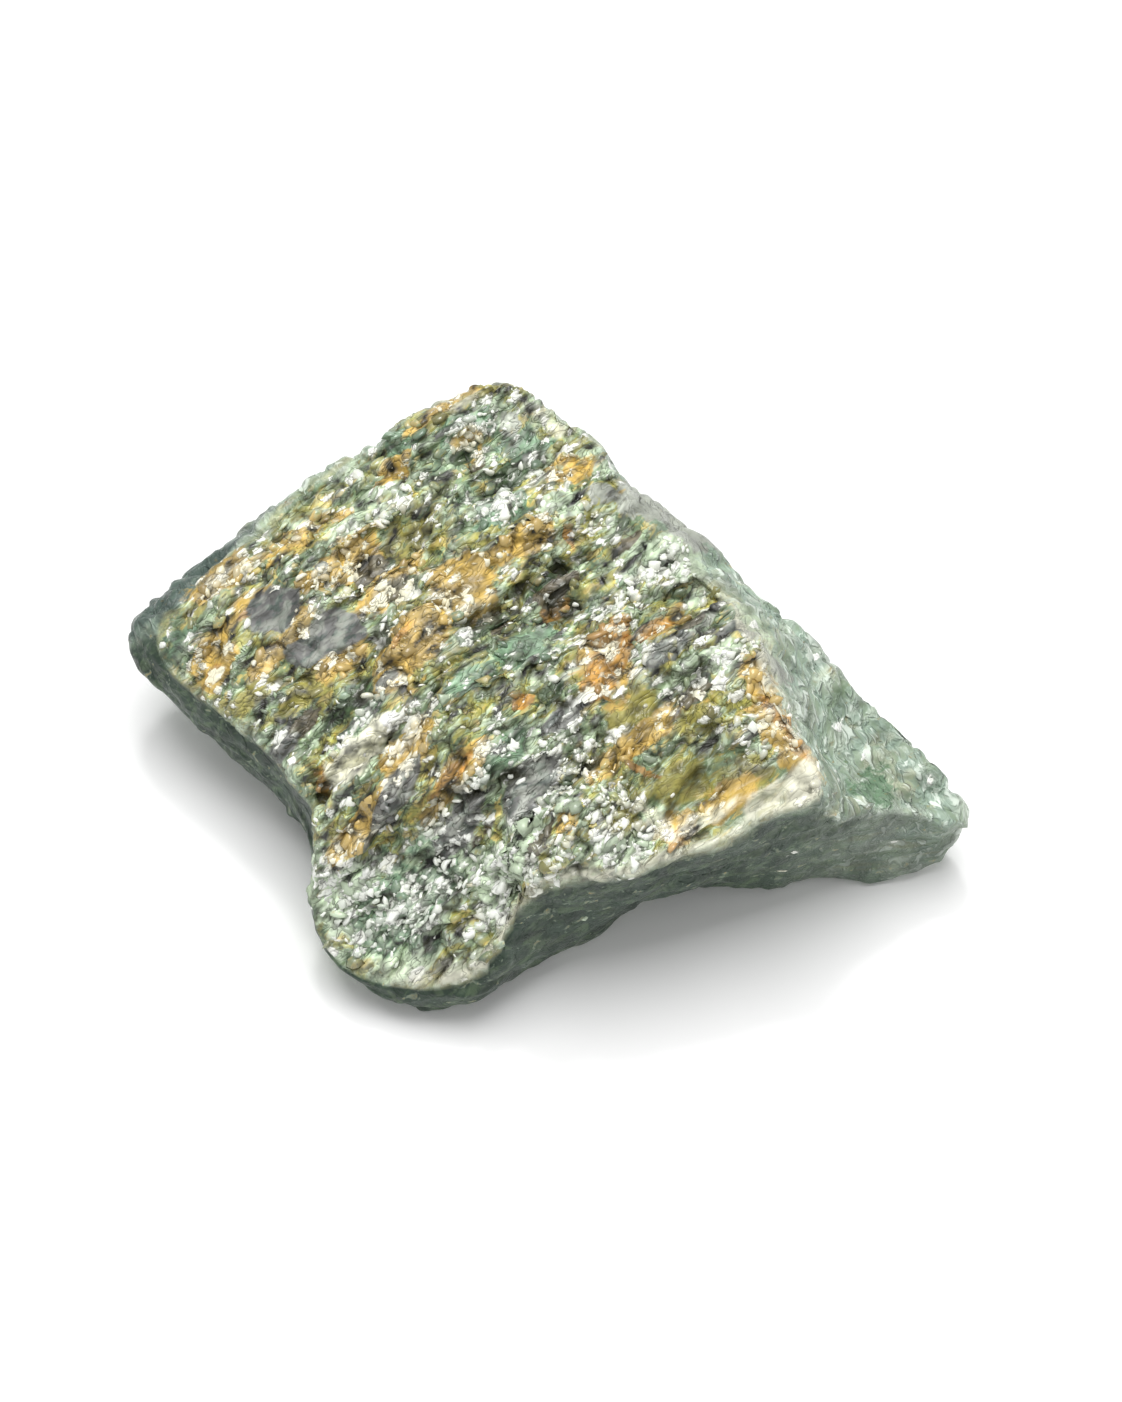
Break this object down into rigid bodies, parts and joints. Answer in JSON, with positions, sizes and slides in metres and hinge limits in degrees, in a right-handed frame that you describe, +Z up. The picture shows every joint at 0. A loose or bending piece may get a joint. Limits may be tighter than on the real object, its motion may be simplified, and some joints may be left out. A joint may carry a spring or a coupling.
{
  "type": "rough fuchsite stone",
  "caption": "Rough natural stone: a broken slab of green mica schist with a glittering crumpled top, a low lobe at one end and a flat resting spot underneath.",
  "frame": {"origin": "on the floor plane, under the centre of the stone's bounding box", "axes": "+Z up; +X along the stone's longest extent, towards the low lobe; -Y towards the broken front side"},
  "size_m": [0.0436, 0.0328, 0.0141],
  "materials": {
    "fuchsite": "satin mica schist, pearly and glittering on top"
  },
  "bodies": {
    "root": {"fuchsite_stone": "fuchsite"}
  },
  "joints": []
}
